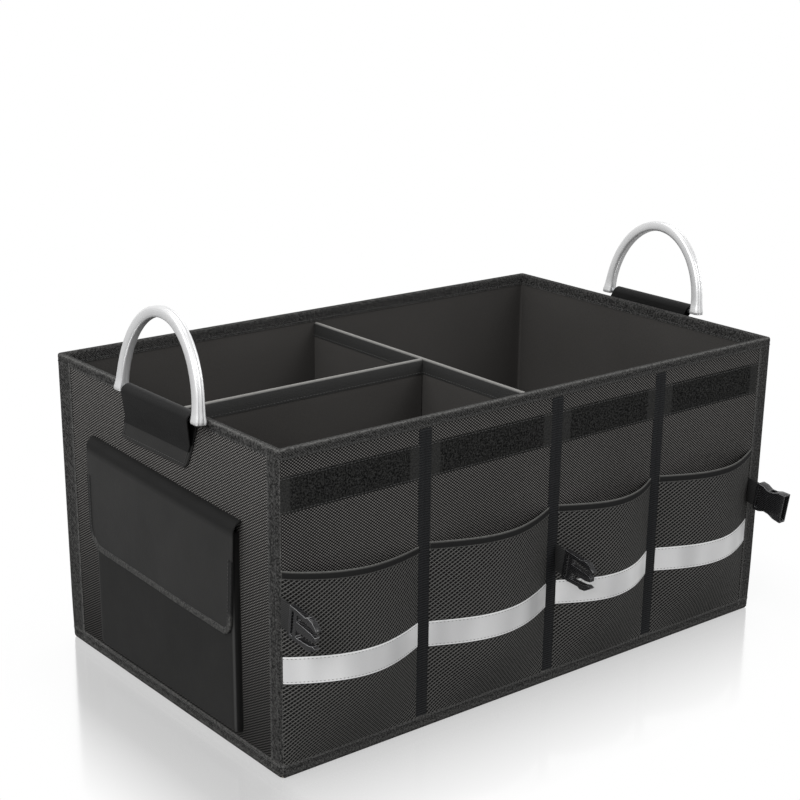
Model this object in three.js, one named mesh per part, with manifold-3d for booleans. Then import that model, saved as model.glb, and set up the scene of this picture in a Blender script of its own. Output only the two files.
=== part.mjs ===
// Car trunk organizer: a board-stiffened cloth box with two swinging handles, four mesh pockets,
// a side pocket with a flap, two dividers and three side-release buckle halves on short webbing.
// Millimetres, +Z up. The origin is the middle of the underside, +X runs along the length and the
// face with the mesh pockets looks along -Y. "Left" is the end at -X, which carries the side pocket.

import * as THREE from 'three';
import { mergeVertices } from 'three/addons/utils/BufferGeometryUtils.js';
import Module from 'manifold-3d';

const wasm = await Module();
wasm.setup();

// Body
const length = 580;
const width = 355;
const height = 285;
const coverThickness = 1;
const boardThickness = 3;
const liningThickness = 0.8;
const tapeThickness = 0.8;

// Cloth folds between the wall boards, measured from the middle of the length
const leftFoldX = -143.5;
const middleFoldX = 6;
const rightFoldX = 136.5;
const foldGap = 4;
const foldStripWidth = 12.5;

// Binding tape
const frontRimTape = 12;
const frontBaseTape = 12.5;
const frontCornerTape = 17.5;
const endRimTape = 11;
const endBaseTape = 15;
const endNearTape = 14;
const endFarTape = 20;
const rimLipDepth = 12;

// Fastening bands above the mesh pockets
const bandHeight = 30;
const bandBelowRim = 23;
const bandThickness = 1;

// Mesh pockets
const pocketBulge = 21;
const pocketFullBulgeZ = 78;
const pocketBelowRim = 111;
const meshThickness = 1;
const elasticHeight = 6;
const elasticExtra = 0.6;
const reflectiveHeight = 23;
const reflectiveThickness = 0.6;
const seamAllowance = 4;
const pocketColumns = 12;
const pocketCurveRows = 4;

// Side pocket and its flap
const sidePocketShift = -6;
const sidePocketWidth = 230;
const sidePocketDepth = 7;
const sidePocketBaseZ = 20;
const sidePocketBelowFlap = 16.5;
const sidePocketWall = 1.2;
const sidePocketCorner = 5;
const flapWidth = 239;
const flapBelowRim = 68;
const flapRollDrop = 10;
const flapDrop = 100;
const flapThickness = 1.5;
const flapCorner = 22;
const flapGap = 0.8;

// Dividers
const dividerThickness = 4;
const dividerBelowRim = 13;
const dividerTape = 15;
const crossDividerX = 0;
const longDividerY = 0;

// Handles: both bows stand a little tilted towards the right end
const leftHandle = { side: -1, shift: -17.5, barAboveRim: 0.5 };
const rightHandle = { side: 1, shift: -11.5, barAboveRim: 3.5 };
const barOffset = 9;
const barRadius = 3;
const bowHalfSpan = 65.4;
const bowRise = 81.5;
const bowThickness = 9.5;
const bowWidth = 8.5;
const bowFootDrop = 3;
const bowFootFlare = 2;
const bowFlareAngle = 0.14;
const bowEdgeRadius = 2;
const bowTilt = THREE.MathUtils.degToRad(5.5);
const sleeveCloth = 1.2;
const sleeveRunningGap = 0.5;
const sleeveHalfLength = 52.5;
const tabHalfLength = 53;
const tabBelowRim = 28;
const tabHeight = 22;
const sleeveLean = 0.5;

// Buckles and their webbing
const webbingWidth = 25;
const webbingThickness = 2.2;
const webbingReach = 13;
const buckleDroop = THREE.MathUtils.degToRad(8);
const buckleThickness = 5;
const socketThickness = 9.6;
const socketWall = 1.6;
const cornerBuckleBelowRim = 135;
const middleBuckleBelowRim = 161;
const socketBuckleBelowRim = 153;
const webbingSlot = [3, 6];
const slotHalf = 11;
const clipBarHalf = 14;
const clipLength = 36.6;
const prongHalf = 4;
const socketMouthHalf = 15;
const socketWaistHalf = 11.5;
const socketLength = 35;
const socketWindow = [15, 23];

// A turned or curved piece keeps this much clear of what it touches
const seatGap = 0.3;

// Places that follow from the sizes above
const halfLength = length / 2;
const halfWidth = width / 2;
const rimZ = height - tapeThickness;
const boardX = halfLength - coverThickness;
const boardY = halfWidth - coverThickness;
const liningX = boardX - boardThickness;
const liningY = boardY - boardThickness;
const insideX = liningX - liningThickness;
const insideY = liningY - liningThickness;
const lipX = insideX - tapeThickness;
const lipY = insideY - tapeThickness;
const floorZ = coverThickness + boardThickness + liningThickness;
const folds = [leftFoldX, middleFoldX, rightFoldX];
const bandBaseZ = height - bandBelowRim - bandHeight;
const pocketMeshTopZ = height - pocketBelowRim - elasticHeight;
const flapTopZ = height - flapBelowRim;
const flapBottomZ = flapTopZ - flapDrop;
const sidePocketTopZ = flapTopZ - sidePocketBelowFlap;
const tabTopZ = height - tabBelowRim;

const materials = {
  oxford: clothMaterial(0x2b2b2b),
  binding: clothMaterial(0x1f1f1f),
  foldTape: clothMaterial(0x161616),
  fasteningTape: clothMaterial(0x1b1b1b),
  mesh: clothMaterial(0x262625),
  elastic: clothMaterial(0x1a1a1a),
  reflective: new THREE.MeshStandardMaterial({ color: 0xb9b9bb, roughness: 0.45 }),
  lining: clothMaterial(0x3a3836),
  board: new THREE.MeshStandardMaterial({ color: 0x6e675c, roughness: 0.85 }),
  leatherette: new THREE.MeshStandardMaterial({ color: 0x1d1d1f, roughness: 0.42 }),
  webbing: clothMaterial(0x181818),
  aluminium: new THREE.MeshStandardMaterial({ color: 0xd6d7d9, roughness: 0.3, metalness: 1 }),
  steel: new THREE.MeshStandardMaterial({ color: 0x9a9c9e, roughness: 0.35, metalness: 1 }),
  buckle: new THREE.MeshStandardMaterial({ color: 0x141415, roughness: 0.35 }),
};

function clothMaterial(color) {
  return new THREE.MeshStandardMaterial({ color, roughness: 0.9 });
}

const organizer = new THREE.Group();
organizer.name = 'car_trunk_organizer';

function add(name, geometry, material) {
  const piece = new THREE.Mesh(geometry, material);
  piece.name = name;
  organizer.add(piece);
}

// Shapes: a slab between two corners, an outline carried along an axis, and joins and cuts

function slab(x0, x1, y0, y1, z0, z1) {
  const geometry = new THREE.BoxGeometry(x1 - x0, y1 - y0, z1 - z0);
  return geometry.translate((x0 + x1) / 2, (y0 + y1) / 2, (z0 + z1) / 2);
}

const unitX = new THREE.Vector3(1, 0, 0);
const unitY = new THREE.Vector3(0, 1, 0);
const unitZ = new THREE.Vector3(0, 0, 1);

// The outline is drawn in (y, z) for x, in (x, z) for y and in (x, y) for z
function carry(outline, axis, from, to, options = {}) {
  const bevel = options.bevel ?? 0;
  const geometry = new THREE.ExtrudeGeometry(outline, {
    depth: to - from - 2 * bevel,
    bevelEnabled: bevel > 0,
    bevelThickness: bevel,
    bevelSize: bevel,
    bevelOffset: -bevel,
    bevelSegments: 2,
    curveSegments: options.curveSegments ?? 6,
  });
  geometry.translate(0, 0, bevel);
  const basis = new THREE.Matrix4();
  if (axis === 'x') {
    basis.makeBasis(unitY, unitZ, unitX);
    return geometry.applyMatrix4(basis).translate(from, 0, 0);
  }
  if (axis === 'y') {
    basis.makeBasis(unitX, unitZ, unitY.clone().negate());
    return geometry.applyMatrix4(basis).translate(0, to, 0);
  }
  return geometry.translate(0, 0, from);
}

function polygon(points) {
  return new THREE.Shape(points.map(([x, y]) => new THREE.Vector2(x, y)));
}

function solid(geometry) {
  const bare = geometry.clone();
  bare.deleteAttribute('normal');
  bare.deleteAttribute('uv');
  const merged = mergeVertices(bare, 1e-4);
  return new wasm.Manifold(new wasm.Mesh({
    numProp: 3,
    vertProperties: new Float32Array(merged.attributes.position.array),
    triVerts: new Uint32Array(merged.index.array),
  }));
}

function geometryOf(manifold) {
  const result = manifold.getMesh();
  const geometry = new THREE.BufferGeometry();
  geometry.setAttribute('position', new THREE.BufferAttribute(result.vertProperties, 3));
  geometry.setIndex(new THREE.BufferAttribute(result.triVerts, 1));
  geometry.computeVertexNormals();
  return geometry;
}

function join(...geometries) {
  return geometryOf(geometries.map(solid).reduce((whole, next) => whole.add(next)));
}

function cut(geometry, ...tools) {
  return geometryOf(tools.map(solid).reduce((whole, tool) => whole.subtract(tool), solid(geometry)));
}

// Outer cloth covers

function addCovers() {
  const [base, cloth] = [coverThickness, materials.oxford];
  add('bottom_cover', slab(-halfLength, halfLength, -halfWidth, halfWidth, 0, base), cloth);
  add('front_cover', slab(-halfLength, halfLength, -halfWidth, -boardY, base, rimZ), cloth);
  add('back_cover', slab(-halfLength, halfLength, boardY, halfWidth, base, rimZ), cloth);
  add('left_cover', slab(-halfLength, -boardX, -boardY, boardY, base, rimZ), cloth);
  add('right_cover', slab(boardX, halfLength, -boardY, boardY, base, rimZ), cloth);
}

// Stiffening boards: four in each long wall, one in each end, two in the base

function addBoards() {
  const [base, board] = [coverThickness, materials.board];
  const edges = [-liningX, ...folds.flatMap((x) => [x - foldGap / 2, x + foldGap / 2]), liningX];
  for (let i = 0; i < folds.length + 1; i += 1) {
    const [x0, x1] = [edges[2 * i], edges[2 * i + 1]];
    add(`front_board_${i + 1}`, slab(x0, x1, -boardY, -liningY, base, rimZ), board);
    add(`back_board_${i + 1}`, slab(x0, x1, liningY, boardY, base, rimZ), board);
  }
  add('left_board', slab(-boardX, -liningX, -boardY, boardY, base, rimZ), board);
  add('right_board', slab(liningX, boardX, -boardY, boardY, base, rimZ), board);
  const top = base + boardThickness;
  const [seamLeft, seamRight] = [middleFoldX - foldGap / 2, middleFoldX + foldGap / 2];
  add('base_board_left', slab(-liningX, seamLeft, -liningY, liningY, base, top), board);
  add('base_board_right', slab(seamRight, liningX, -liningY, liningY, base, top), board);
}

// Lining: one sewn tub inside the boards

function addLining() {
  const outside = slab(-liningX, liningX, -liningY, liningY, coverThickness + boardThickness, rimZ);
  const inside = slab(-insideX, insideX, -insideY, insideY, floorZ, height);
  add('inner_lining', cut(outside, inside), materials.lining);
}

// Binding tape: on each wall one sewn frame that folds over the rim and down inside it

function addLongWallBinding(name, side) {
  const face = side * halfWidth;
  const proud = side * (halfWidth + tapeThickness);
  const [y0, y1] = [Math.min(face, proud), Math.max(face, proud)];
  const [cap0, cap1] = [Math.min(proud, side * lipY), Math.max(proud, side * lipY)];
  const [lip0, lip1] = [Math.min(side * insideY, side * lipY), Math.max(side * insideY, side * lipY)];
  const cornerX = -side * (halfLength - frontCornerTape);
  const endX = -side * halfLength;
  add(name, join(
    slab(-halfLength, halfLength, y0, y1, height - frontRimTape, height),
    slab(-halfLength, halfLength, y0, y1, 0, frontBaseTape),
    slab(Math.min(cornerX, endX), Math.max(cornerX, endX), y0, y1, 0, height),
    slab(-halfLength, halfLength, cap0, cap1, rimZ, height),
    slab(-lipX, lipX, lip0, lip1, height - rimLipDepth, height),
  ), materials.binding);
}

function addEndBinding(name, side) {
  const face = side * halfLength;
  const proud = side * (halfLength + tapeThickness);
  const [x0, x1] = [Math.min(face, proud), Math.max(face, proud)];
  const [cap0, cap1] = [Math.min(proud, side * lipX), Math.max(proud, side * lipX)];
  const [lip0, lip1] = [Math.min(side * insideX, side * lipX), Math.max(side * insideX, side * lipX)];
  add(name, join(
    slab(x0, x1, -halfWidth, halfWidth, height - endRimTape, height),
    slab(x0, x1, -halfWidth, halfWidth, 0, endBaseTape),
    slab(x0, x1, -halfWidth, endNearTape - halfWidth, 0, height),
    slab(x0, x1, halfWidth - endFarTape, halfWidth, 0, height),
    slab(cap0, cap1, -lipY, lipY, rimZ, height),
    slab(lip0, lip1, -lipY, lipY, height - rimLipDepth, height),
  ), materials.binding);
}

// Front face: ribbed tape over the folds, and in each bay a fastening band and a mesh pocket

const bays = [
  [seamAllowance - halfLength, leftFoldX - foldStripWidth / 2],
  [leftFoldX + foldStripWidth / 2, middleFoldX - foldStripWidth / 2],
  [middleFoldX + foldStripWidth / 2, rightFoldX - foldStripWidth / 2],
  [rightFoldX + foldStripWidth / 2, halfLength - frontCornerTape],
];

function addFoldStrips() {
  const face = -halfWidth - tapeThickness;
  folds.forEach((x, i) => {
    const [x0, x1] = [x - foldStripWidth / 2, x + foldStripWidth / 2];
    const strip = slab(x0, x1, face, -halfWidth, frontBaseTape, height - frontRimTape);
    add(`fold_strip_${i + 1}`, strip, materials.foldTape);
  });
}

function spaced(from, to, steps) {
  return Array.from({ length: steps + 1 }, (_, i) => from + ((to - from) * i) / steps);
}

// A sheet on the front face that bows outwards: depth(x, z) is how far it stands off the wall
function bowedSheet(xs, zs, depth, inner, outer) {
  const positions = [];
  const index = [];
  const columns = xs.length;
  const at = (layer, i, j) => layer * columns * zs.length + j * columns + i;
  for (const offset of [outer, inner]) {
    for (const z of zs) {
      for (const x of xs) positions.push(x, -halfWidth - depth(x, z) - offset, z);
    }
  }
  const quad = (a, b, c, d) => index.push(a, b, c, a, c, d);
  const [lastX, lastZ] = [columns - 1, zs.length - 1];
  for (let j = 0; j < lastZ; j += 1) {
    for (let i = 0; i < lastX; i += 1) {
      quad(at(0, i, j), at(0, i + 1, j), at(0, i + 1, j + 1), at(0, i, j + 1));
      quad(at(1, i, j), at(1, i, j + 1), at(1, i + 1, j + 1), at(1, i + 1, j));
    }
    quad(at(0, 0, j), at(0, 0, j + 1), at(1, 0, j + 1), at(1, 0, j));
    quad(at(0, lastX, j), at(1, lastX, j), at(1, lastX, j + 1), at(0, lastX, j + 1));
  }
  for (let i = 0; i < lastX; i += 1) {
    quad(at(1, i, 0), at(1, i + 1, 0), at(0, i + 1, 0), at(0, i, 0));
    quad(at(0, i, lastZ), at(0, i + 1, lastZ), at(1, i + 1, lastZ), at(1, i, lastZ));
  }
  const geometry = new THREE.BufferGeometry();
  geometry.setAttribute('position', new THREE.Float32BufferAttribute(positions, 3));
  geometry.setIndex(index);
  geometry.computeVertexNormals();
  return geometry;
}

function addBays() {
  const elasticTop = pocketMeshTopZ + elasticHeight;
  const bulgeRise = pocketFullBulgeZ - frontBaseTape;
  const rise = (z) => Math.sin((Math.PI / 2) * Math.min(1, (z - frontBaseTape) / bulgeRise));
  bays.forEach(([x0, x1], i) => {
    const number = i + 1;
    const depth = (x, z) => pocketBulge * Math.sin((Math.PI * (x - x0)) / (x1 - x0)) * rise(z);
    const xs = spaced(x0, x1, pocketColumns);
    const curve = spaced(frontBaseTape, pocketFullBulgeZ, pocketCurveRows);
    const tapeTop = pocketFullBulgeZ + reflectiveHeight;
    const onMesh = meshThickness + seatGap;
    const band = slab(x0, x1, -halfWidth - bandThickness, -halfWidth, bandBaseZ, bandBaseZ + bandHeight);
    add(`fastening_band_${number}`, band, materials.fasteningTape);
    add(`mesh_pocket_${number}`,
      bowedSheet(xs, [...curve, tapeTop, pocketMeshTopZ], depth, 0, meshThickness), materials.mesh);
    add(`pocket_elastic_${number}`,
      bowedSheet(xs, [pocketMeshTopZ, elasticTop], depth, 0, meshThickness + elasticExtra),
      materials.elastic);
    add(`reflective_tape_${number}`,
      bowedSheet(xs, [pocketFullBulgeZ, tapeTop], depth, onMesh, onMesh + reflectiveThickness),
      materials.reflective);
  });
}

// Side pocket on the left end: a boxed pouch whose back is the wall, and a flap hinged above it

function pouchPlan(halfSpan, back, front, corner) {
  const plan = new THREE.Shape();
  plan.moveTo(back, -halfSpan);
  plan.lineTo(back, halfSpan);
  plan.lineTo(front + corner, halfSpan);
  plan.absarc(front + corner, halfSpan - corner, corner, Math.PI / 2, Math.PI, false);
  plan.lineTo(front, corner - halfSpan);
  plan.absarc(front + corner, corner - halfSpan, corner, Math.PI, 1.5 * Math.PI, false);
  return plan;
}

function addSidePocket() {
  const face = -halfLength;
  const front = face - sidePocketDepth;
  const outside = pouchPlan(sidePocketWidth / 2, face, front, sidePocketCorner);
  const insideHalf = sidePocketWidth / 2 - sidePocketWall;
  const insideFront = front + sidePocketWall;
  const past = 1;
  const inside = pouchPlan(insideHalf, face + past, insideFront, sidePocketCorner - sidePocketWall);
  const pouch = cut(
    carry(outside, 'z', sidePocketBaseZ, sidePocketTopZ),
    carry(inside, 'z', sidePocketBaseZ + sidePocketWall, sidePocketTopZ + past),
  );
  add('side_pocket', pouch.translate(0, sidePocketShift, 0), materials.leatherette);
}

function addFlap() {
  const root = -halfLength - seatGap;
  const inside = -halfLength - sidePocketDepth - flapGap;
  const outside = inside - flapThickness;
  const shoulderZ = flapTopZ - flapRollDrop;
  const profile = new THREE.Shape();
  profile.moveTo(root, flapTopZ);
  profile.absellipse(root, shoulderZ, root - outside, flapRollDrop, Math.PI / 2, Math.PI, false);
  profile.lineTo(outside, flapBottomZ);
  profile.lineTo(inside, flapBottomZ);
  profile.lineTo(inside, shoulderZ);
  const innerDrop = flapRollDrop - flapThickness;
  profile.absellipse(root, shoulderZ, root - inside, innerDrop, Math.PI, Math.PI / 2, true);
  const half = flapWidth / 2;
  const outline = new THREE.Shape();
  outline.moveTo(-half, flapTopZ);
  outline.lineTo(-half, flapBottomZ + flapCorner);
  outline.absarc(flapCorner - half, flapBottomZ + flapCorner, flapCorner, Math.PI, 1.5 * Math.PI, false);
  outline.lineTo(half - flapCorner, flapBottomZ);
  outline.absarc(half - flapCorner, flapBottomZ + flapCorner, flapCorner, -Math.PI / 2, 0, false);
  outline.lineTo(half, flapTopZ);
  const past = 5;
  const sheet = solid(carry(profile, 'y', -half - past, half + past));
  const trimmed = sheet.intersect(solid(carry(outline, 'x', outside - past, root + past)));
  add('side_pocket_flap', geometryOf(trimmed).translate(0, sidePocketShift, 0), materials.leatherette);
}

// Dividers: one board across the box and one from it to the left end, each bound along its top

function addDividers() {
  const half = dividerThickness / 2;
  const taped = half + tapeThickness;
  const top = height - dividerBelowRim;
  const boardTop = top - tapeThickness;
  const tapeBase = top - dividerTape;
  const [x, y] = [crossDividerX, longDividerY];
  const crossFace = x - taped;
  add('cross_divider', slab(x - half, x + half, -insideY, insideY, floorZ, boardTop), materials.lining);
  add('long_divider', slab(-insideX, crossFace, y - half, y + half, floorZ, boardTop), materials.lining);
  add('cross_divider_binding', join(
    slab(x - taped, x + taped, -insideY, insideY, boardTop, top),
    slab(x - taped, x - half, -insideY, insideY, tapeBase, top),
    slab(x + half, x + taped, -insideY, insideY, tapeBase, top),
  ), materials.binding);
  add('long_divider_binding', join(
    slab(-insideX, crossFace, y - taped, y + taped, boardTop, top),
    slab(-insideX, crossFace, y - taped, y - half, tapeBase, top),
    slab(-insideX, crossFace, y + half, y + taped, tapeBase, top),
  ), materials.binding);
}

// Handles: an aluminium bow on a steel bar, held in a folded sleeve sewn to the end wall

function barPlace(handle) {
  return [handle.side * (halfLength + barOffset), handle.shift, height + handle.barAboveRim];
}

function bowOutline(centreY, barZ) {
  const outline = new THREE.Shape();
  const foot = barZ - bowFootDrop;
  const [outerSpan, innerSpan] = [bowHalfSpan, bowHalfSpan - bowThickness];
  const flared = bowHalfSpan + bowFootFlare;
  outline.moveTo(centreY - flared, foot);
  outline.lineTo(centreY - flared, barZ);
  outline.absellipse(centreY, barZ, outerSpan, bowRise, Math.PI - bowFlareAngle, bowFlareAngle, true);
  outline.lineTo(centreY + flared, barZ);
  outline.lineTo(centreY + flared, foot);
  outline.lineTo(centreY + innerSpan, foot);
  outline.lineTo(centreY + innerSpan, barZ);
  outline.absellipse(centreY, barZ, innerSpan, bowRise - bowThickness, 0, Math.PI, false);
  outline.lineTo(centreY - innerSpan, foot);
  return outline;
}

// Where the straight cloth from a point meets a round one, as angles seen from the round's centre
function wrapAngles(point, centre, radius) {
  const reach = Math.hypot(centre[0] - point[0], centre[1] - point[1]);
  const towards = Math.atan2(centre[1] - point[1], centre[0] - point[0]);
  const swing = Math.asin(radius / reach);
  return [towards + swing + Math.PI / 2, towards - swing - Math.PI / 2];
}

function sleeveOutline(handle) {
  const side = handle.side;
  const face = side * halfLength;
  const [barX, , barZ] = barPlace(handle);
  const centre = [barX, barZ];
  const inner = barRadius + sleeveRunningGap;
  const outer = inner + sleeveCloth;
  const wallFoot = [face, tabTopZ];
  const openFoot = [face + side * 2 * sleeveCloth, tabTopZ];
  const crease = [face + side * sleeveCloth, tabTopZ + 3 * sleeveCloth];
  const outline = new THREE.Shape();
  const hole = new THREE.Path();
  const left = side < 0 ? openFoot : wallFoot;
  const right = side < 0 ? wallFoot : openFoot;
  const leftStart = wrapAngles(left, centre, outer)[0];
  const rightEnd = wrapAngles(right, centre, outer)[1];
  outline.moveTo(left[0], left[1] - sleeveCloth);
  outline.lineTo(left[0], left[1]);
  outline.absarc(centre[0], centre[1], outer, leftStart, rightEnd, true);
  outline.lineTo(right[0], right[1]);
  outline.lineTo(right[0], right[1] - sleeveCloth);
  const [holeLeft, holeRight] = wrapAngles(crease, centre, inner);
  hole.absarc(centre[0], centre[1], inner, holeRight, holeLeft, false);
  hole.lineTo(crease[0], crease[1]);
  outline.holes.push(hole);
  return outline;
}

function addHandle(name, handle) {
  const [barX, centreY, barZ] = barPlace(handle);
  const half = bowWidth / 2;
  const rounding = { bevel: bowEdgeRadius, curveSegments: 14 };
  const bow = carry(bowOutline(centreY, barZ), 'x', -half, half, rounding);
  bow.translate(0, 0, -barZ).rotateY(bowTilt).translate(barX, 0, barZ);
  add(`${name}_handle_bow`, bow, materials.aluminium);

  const barLength = 2 * (bowHalfSpan - bowThickness - seatGap);
  const bar = new THREE.CylinderGeometry(barRadius, barRadius, barLength, 24);
  add(`${name}_handle_bar`, bar.translate(barX, centreY, barZ), materials.steel);

  const face = handle.side * halfLength;
  const doubled = face + handle.side * 2 * sleeveCloth;
  const tab = slab(Math.min(face, doubled), Math.max(face, doubled),
    -tabHalfLength, tabHalfLength, tabTopZ - tabHeight, tabTopZ);
  const sleeve = join(tab, carry(sleeveOutline(handle), 'y', -sleeveHalfLength, sleeveHalfLength));
  const points = sleeve.attributes.position;
  for (let i = 0; i < points.count; i += 1) {
    points.setY(i, points.getY(i) + centreY - sleeveLean * (points.getZ(i) - barZ));
  }
  add(`${name}_handle_sleeve`, sleeve, materials.leatherette);
}

// Buckle halves: each stands straight out of the front face on a short webbing and droops a little

function placeOnWebbing(geometry, x, z) {
  const out = new THREE.Vector3(0, -Math.cos(buckleDroop), -Math.sin(buckleDroop));
  const up = new THREE.Vector3(0, -Math.sin(buckleDroop), Math.cos(buckleDroop));
  const basis = new THREE.Matrix4().makeBasis(out, up, new THREE.Vector3(-1, 0, 0));
  const start = out.clone().multiplyScalar(webbingReach + seatGap);
  basis.setPosition(x + start.x, -halfWidth + start.y, z + start.z);
  return geometry.applyMatrix4(basis);
}

function addWebbing(name, x, z, rootY) {
  const half = webbingWidth / 2;
  const [c, s] = [Math.cos(buckleDroop), Math.sin(buckleDroop)];
  const end = [-halfWidth - webbingReach * c, z - webbingReach * s];
  const outline = polygon([
    [rootY, z + half],
    [end[0] - half * s, end[1] + half * c],
    [end[0] + half * s, end[1] - half * c],
    [rootY, z - half],
  ]);
  add(name, carry(outline, 'x', x - webbingThickness / 2, x + webbingThickness / 2), materials.webbing);
}

const mirrored = (half) => [...half, ...half.map(([a, b]) => [a, -b]).reverse()];

// A bar with a slot for the webbing, two barbed outer prongs and a straight one between them
function clipShape() {
  const barEnd = 10;
  const prongTip = clipLength - 1.6;
  const outerProng = [
    [0, clipBarHalf], [barEnd - 1, clipBarHalf], [21, clipBarHalf - 1], [24, clipBarHalf + 0.4],
    [30, clipBarHalf - 0.8], [clipLength - 0.6, 8.6], [clipLength, 7.4], [clipLength - 3.6, 6.6],
    [28, 8.4], [barEnd + 2, 10.2], [barEnd, 9.4],
  ];
  const centreProng = [[barEnd, prongHalf], [prongTip - 5, prongHalf - 0.6], [prongTip, prongHalf / 2]];
  const shape = polygon(mirrored([...outerProng, ...centreProng]));
  const [slotStart, slotEnd] = webbingSlot;
  const corners = [
    [slotStart, slotHalf], [slotStart, -slotHalf], [slotEnd, -slotHalf], [slotEnd, slotHalf],
  ];
  shape.holes.push(new THREE.Path(corners.map(([a, b]) => new THREE.Vector2(a, b))));
  return shape;
}

function addClip(name, x, z) {
  const half = buckleThickness / 2;
  const clip = carry(clipShape(), 'z', -half, half);
  add(name, placeOnWebbing(clip, x, z), materials.buckle);
}

function addSocket(name, x, z) {
  const [half, waist, mouth] = [socketThickness / 2, socketWaistHalf, socketMouthHalf];
  const cavity = half - socketWall;
  const past = 1;
  const body = polygon(mirrored([
    [0, mouth - 2], [2, mouth - 0.6], [8, mouth - 1], [14, waist], [20, waist + 0.4],
    [26, mouth - 0.8], [socketLength, mouth],
  ]));
  const hollow = polygon(mirrored([
    [10, waist - socketWall], [21, waist - socketWall],
    [26, mouth - 0.8 - socketWall], [socketLength + past, mouth - socketWall],
  ]));
  const [windowStart, windowEnd] = socketWindow;
  const [windowInside, windowHalf] = [waist - socketWall - past, cavity - 0.4];
  const [slotStart, slotEnd] = webbingSlot;
  const socket = cut(
    carry(body, 'z', -half, half, { bevel: 1 }),
    carry(hollow, 'z', -cavity, cavity),
    slab(windowStart, windowEnd, windowInside, mouth + past, -windowHalf, windowHalf),
    slab(windowStart, windowEnd, -mouth - past, -windowInside, -windowHalf, windowHalf),
    slab(slotStart, slotEnd, -slotHalf, slotHalf, -half - past, half + past),
  );
  add(name, placeOnWebbing(socket, x, z), materials.buckle);
}

function addBuckles() {
  const halfWeb = webbingThickness / 2;
  const cornerX = -halfLength + halfWeb + seatGap;
  const middleX = middleFoldX + foldStripWidth / 2 - halfWeb;
  const socketX = halfLength - frontCornerTape + halfWeb;
  const cornerZ = height - cornerBuckleBelowRim;
  const middleZ = height - middleBuckleBelowRim;
  const socketZ = height - socketBuckleBelowRim;
  addWebbing('corner_webbing', cornerX, cornerZ, -halfWidth);
  addWebbing('middle_webbing', middleX, middleZ, -halfWidth - tapeThickness);
  addWebbing('socket_webbing', socketX, socketZ, -halfWidth - tapeThickness);
  addClip('corner_clip', cornerX, cornerZ);
  addClip('middle_clip', middleX, middleZ);
  addSocket('socket_buckle', socketX, socketZ);
}

addCovers();
addBoards();
addLining();
addLongWallBinding('front_binding', -1);
addLongWallBinding('back_binding', 1);
addEndBinding('left_binding', -1);
addEndBinding('right_binding', 1);
addFoldStrips();
addBays();
addSidePocket();
addFlap();
addDividers();
addHandle('left', leftHandle);
addHandle('right', rightHandle);
addBuckles();

export default organizer;
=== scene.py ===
from math import asin, atan2, copysign, cos, exp, hypot, pi, radians, sin, sqrt

import bmesh
import bpy
from mathutils import Matrix, Vector, noise


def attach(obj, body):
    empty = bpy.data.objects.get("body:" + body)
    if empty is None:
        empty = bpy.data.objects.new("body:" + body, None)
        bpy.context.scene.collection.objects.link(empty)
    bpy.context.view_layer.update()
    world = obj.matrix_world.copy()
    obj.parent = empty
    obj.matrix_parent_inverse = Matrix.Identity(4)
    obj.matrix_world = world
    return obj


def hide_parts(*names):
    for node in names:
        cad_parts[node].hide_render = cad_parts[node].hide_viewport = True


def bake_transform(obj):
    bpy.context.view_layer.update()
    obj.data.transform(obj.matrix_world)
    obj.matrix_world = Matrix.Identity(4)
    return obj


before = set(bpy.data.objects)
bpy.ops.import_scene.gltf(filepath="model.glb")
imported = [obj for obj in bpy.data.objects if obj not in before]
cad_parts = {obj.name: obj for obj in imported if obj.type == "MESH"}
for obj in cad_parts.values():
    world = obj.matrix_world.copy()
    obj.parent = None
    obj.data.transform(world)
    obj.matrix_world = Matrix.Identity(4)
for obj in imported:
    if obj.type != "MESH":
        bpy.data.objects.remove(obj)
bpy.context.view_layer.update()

mm = 0.001
scene = bpy.context.scene
scene.view_settings.view_transform = "Standard"

# Studio. The box stands on a pale floor in soft light and is seen from above its near left corner.
# Four soft lamps and a grey sky light it; the camera sees the sky and the far floor as plain white.
def add_object(name, data):
    added = bpy.data.objects.new(name, data)
    scene.collection.objects.link(added)
    return added


camera = add_object("camera", bpy.data.cameras.new("camera"))
scene.camera = camera
camera.data.sensor_width = 36
camera.data.lens = 75.49
camera.data.shift_y = 0.1
camera.location = (-0.9805, -1.183, 0.692)
camera.rotation_euler = [radians(turn) for turn in (70.541, -0.632, -38.661)]


def hang_lamp(name, place, aim, size, power):
    lamp = add_object(name, bpy.data.lights.new(name, "AREA"))
    lamp.data.size = size
    lamp.data.energy = power
    lamp.visible_camera = False
    lamp.location = place
    lamp.rotation_euler = (Vector(aim) - Vector(place)).to_track_quat("-Z", "Y").to_euler()


hang_lamp("key_lamp", (-2.75, -1.25, 2.2), (0, 0, 0.15), 1.6, 62)
hang_lamp("top_lamp", (0.3, 0.6, 2.6), (0, 0, 0.1), 1.8, 20)
hang_lamp("side_lamp", (1.0, -2.7, 1.8), (0, 0, 0.2), 1.2, 30)
hang_lamp("end_lamp", (-1.15, 0.15, 1.1), (-0.29, 0, 0.2), 0.6, 5)

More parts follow.
